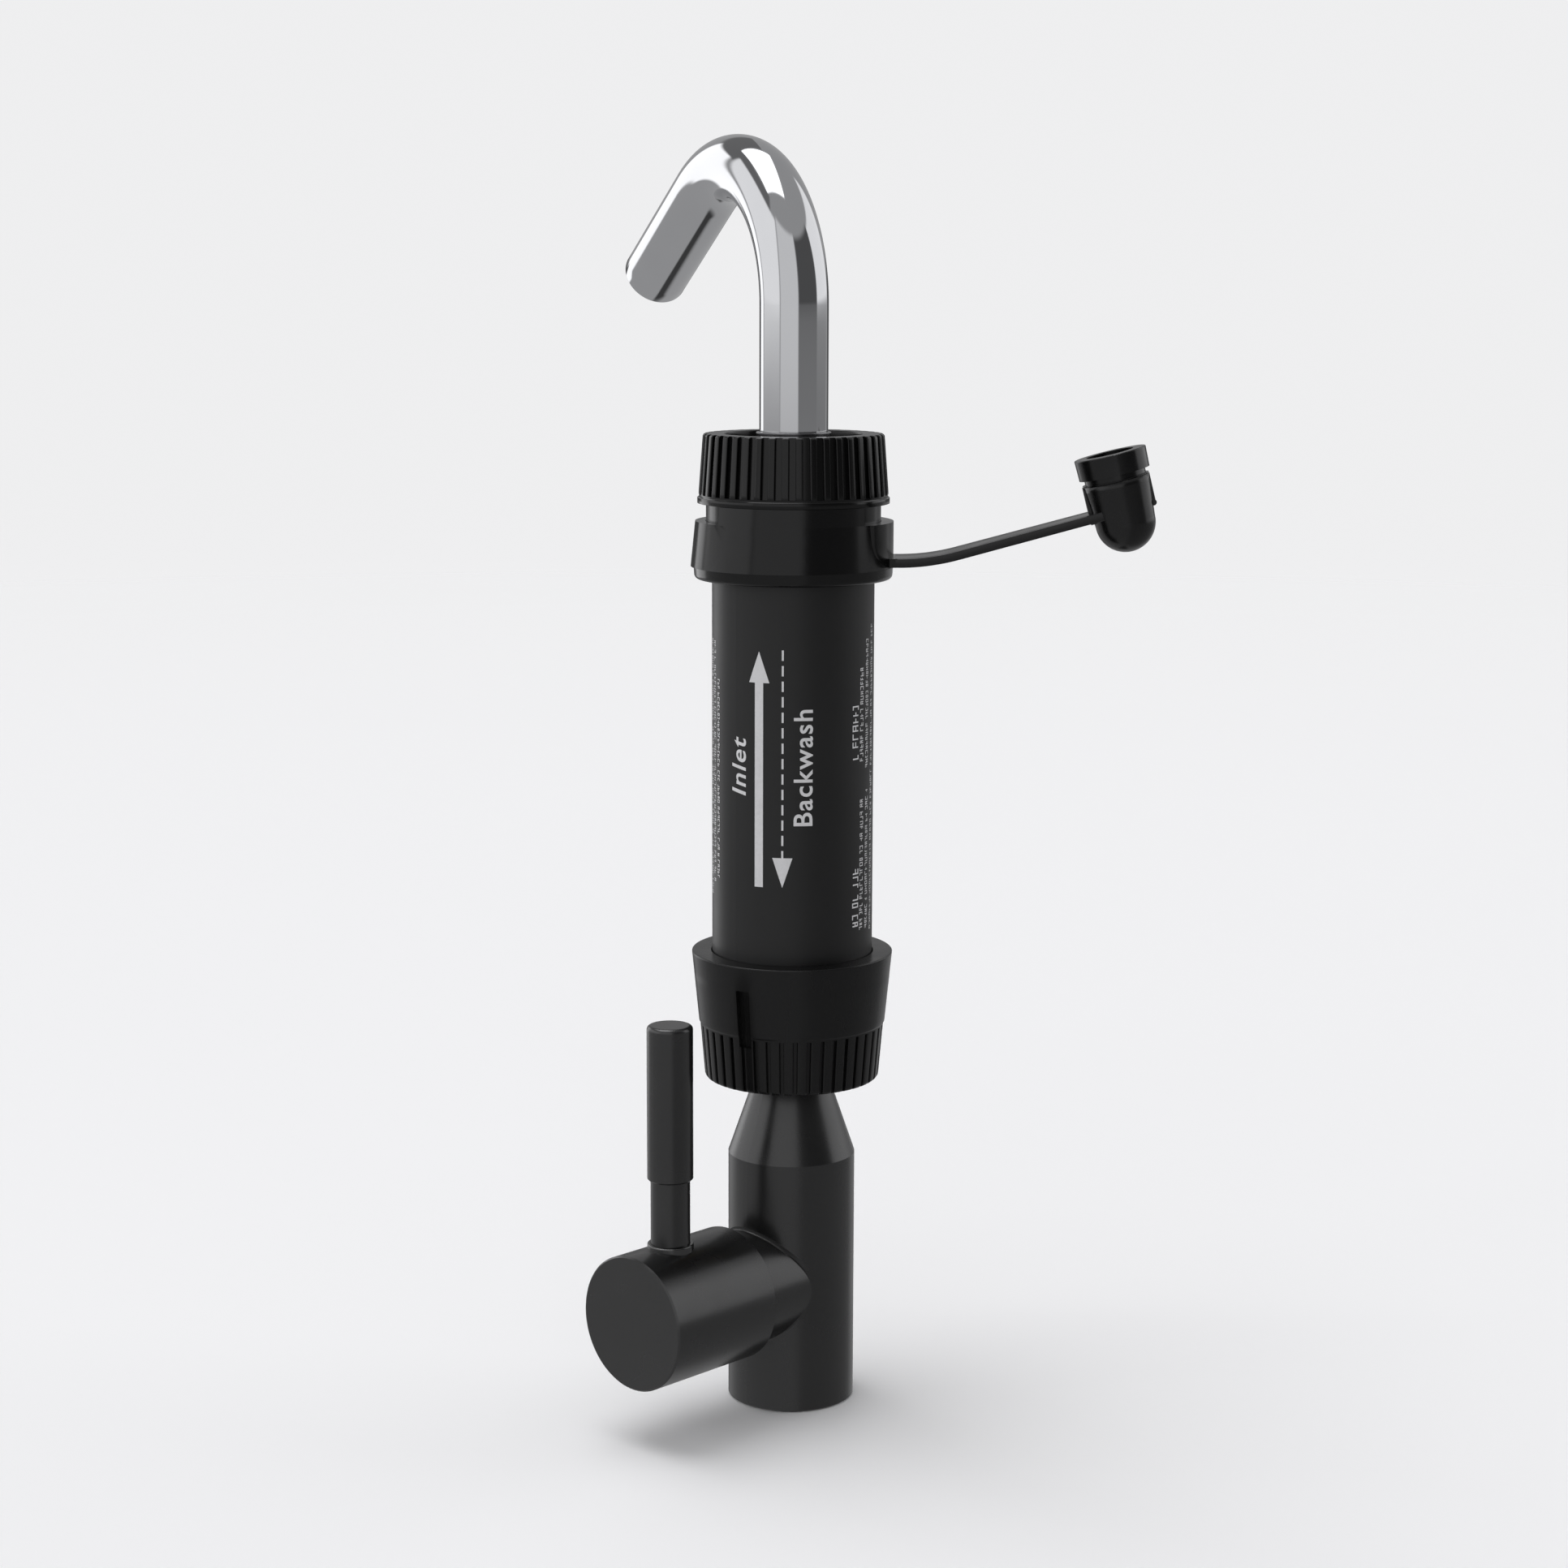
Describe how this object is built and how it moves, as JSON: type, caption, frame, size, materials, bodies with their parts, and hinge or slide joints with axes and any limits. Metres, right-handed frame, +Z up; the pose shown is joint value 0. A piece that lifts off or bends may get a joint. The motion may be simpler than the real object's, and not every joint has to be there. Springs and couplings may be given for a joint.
{
  "type": "filter tap",
  "caption": "Bench water tap with a quarter-turn side valve, an in-line hollow-fibre filter cartridge between two union nuts, a swivelling gooseneck spout and a tethered dust cap.",
  "frame": {"origin": "centre of the valve body's flat underside, at the mouth of the threaded inlet, on the main axis", "axes": "+Z up the main axis, +X out of the main axis along the quarter-turn valve's hub"},
  "size_m": [0.0891, 0.1147, 0.2396],
  "materials": {
    "painted_metal_black": "matte black powder coat",
    "painted_metal_satin": "satin black coat, worn bright at the edge",
    "black_plastic": "satin moulded plastic",
    "tube_plastic": "fine matt extruded plastic",
    "soft_rubber": "smooth semi-gloss soft rubber",
    "seal_rubber": "smooth moulded rubber",
    "chrome": "polished chrome plate",
    "brass": "machined brass",
    "ceramic_disc": "lapped ceramic",
    "spring_steel": "bright stainless steel",
    "slip_plastic": "white low-friction plastic",
    "membrane": "white porous fibre",
    "potting_resin": "cast translucent resin"
  },
  "bodies": {
    "valve": {"valve_body": "painted_metal_black", "base_seal": "seal_rubber", "seat_seal": "seal_rubber", "fixed_disc": "ceramic_disc", "headwork_body": "brass", "headwork_seal": "seal_rubber", "union_nipple": "brass", "nipple_seals": "seal_rubber", "inlet_end_cap": "black_plastic", "inlet_cap_seal": "seal_rubber", "inlet_screen": "spring_steel", "cartridge_tube": "tube_plastic", "fibre_bundle": "membrane", "potting_plug": "potting_resin", "outlet_end_cap": "black_plastic", "outlet_cap_seal": "seal_rubber", "spout_bushing": "black_plastic"},
    "handle": {"handle_hub": "painted_metal_black", "hub_set_screw": "spring_steel", "lever_foot": "painted_metal_satin", "lever_stem": "painted_metal_black", "lever_grip": "painted_metal_black", "spindle": "brass", "spindle_seals": "seal_rubber", "spindle_clip": "spring_steel", "moving_disc": "ceramic_disc"},
    "lower_slip": {"lower_washer": "slip_plastic"},
    "lower_union": {"lower_nut": "black_plastic"},
    "upper_slip": {"upper_washer": "slip_plastic"},
    "upper_union": {"upper_nut": "black_plastic"},
    "spout": {"spout_tube": "chrome", "spout_tail": "brass", "spout_seals": "seal_rubber", "spout_ferrule": "chrome"},
    "collar": {"tether_collar": "black_plastic"},
    "tether": {"tether_strap": "soft_rubber"},
    "cap": {"dust_cap": "soft_rubber"}
  },
  "joints": [
    {"name": "lever_turn", "type": "hinge", "parent": "valve", "child": "handle", "pos_m": [0, 0, 0.02395], "axis": [1, 0, 0], "range_deg": [0, 90]},
    {"name": "lower_slip_travel", "type": "slide", "parent": "valve", "child": "lower_slip", "axis": [0, 0, -1], "range_m": [0, 0.005]},
    {"name": "lower_nut_turn", "type": "hinge", "parent": "lower_slip", "child": "lower_union", "pos_m": [0, 0, 0.0755], "axis": [0, 0, -1], "range_deg": [0, 720]},
    {"name": "upper_slip_travel", "type": "slide", "parent": "valve", "child": "upper_slip", "axis": [0, 0, 1], "range_m": [0, 0.005]},
    {"name": "upper_nut_turn", "type": "hinge", "parent": "upper_slip", "child": "upper_union", "pos_m": [0, 0, 0.1783], "axis": [0, 0, 1], "range_deg": [0, 720]},
    {"name": "spout_swivel", "type": "hinge", "parent": "valve", "child": "spout", "pos_m": [0, 0, 0.1783], "axis": [0, 0, 1], "continuous": true},
    {"name": "collar_swivel", "type": "hinge", "parent": "valve", "child": "collar", "pos_m": [0, 0, 0.165], "axis": [0, 0, 1], "continuous": true},
    {"name": "tether_flex", "type": "hinge", "parent": "collar", "child": "tether", "pos_m": [-0.01719, 0.01883, 0.16174], "axis": [0.7385, 0.6743, 0], "range_deg": [-60, 40], "stiffness_Nm_per_rad": 0.04},
    {"name": "cap_flex", "type": "hinge", "parent": "tether", "child": "cap", "pos_m": [-0.03372, 0.03692, 0.16813], "axis": [0.7385, 0.6743, 0], "range_deg": [-60, 60], "stiffness_Nm_per_rad": 0.04}
  ],
  "couplings": [
    {"joint": "lower_slip_travel", "follows": "lower_nut_turn", "m_per_rad": 0.00039789},
    {"joint": "upper_slip_travel", "follows": "upper_nut_turn", "m_per_rad": 0.00039789}
  ]
}
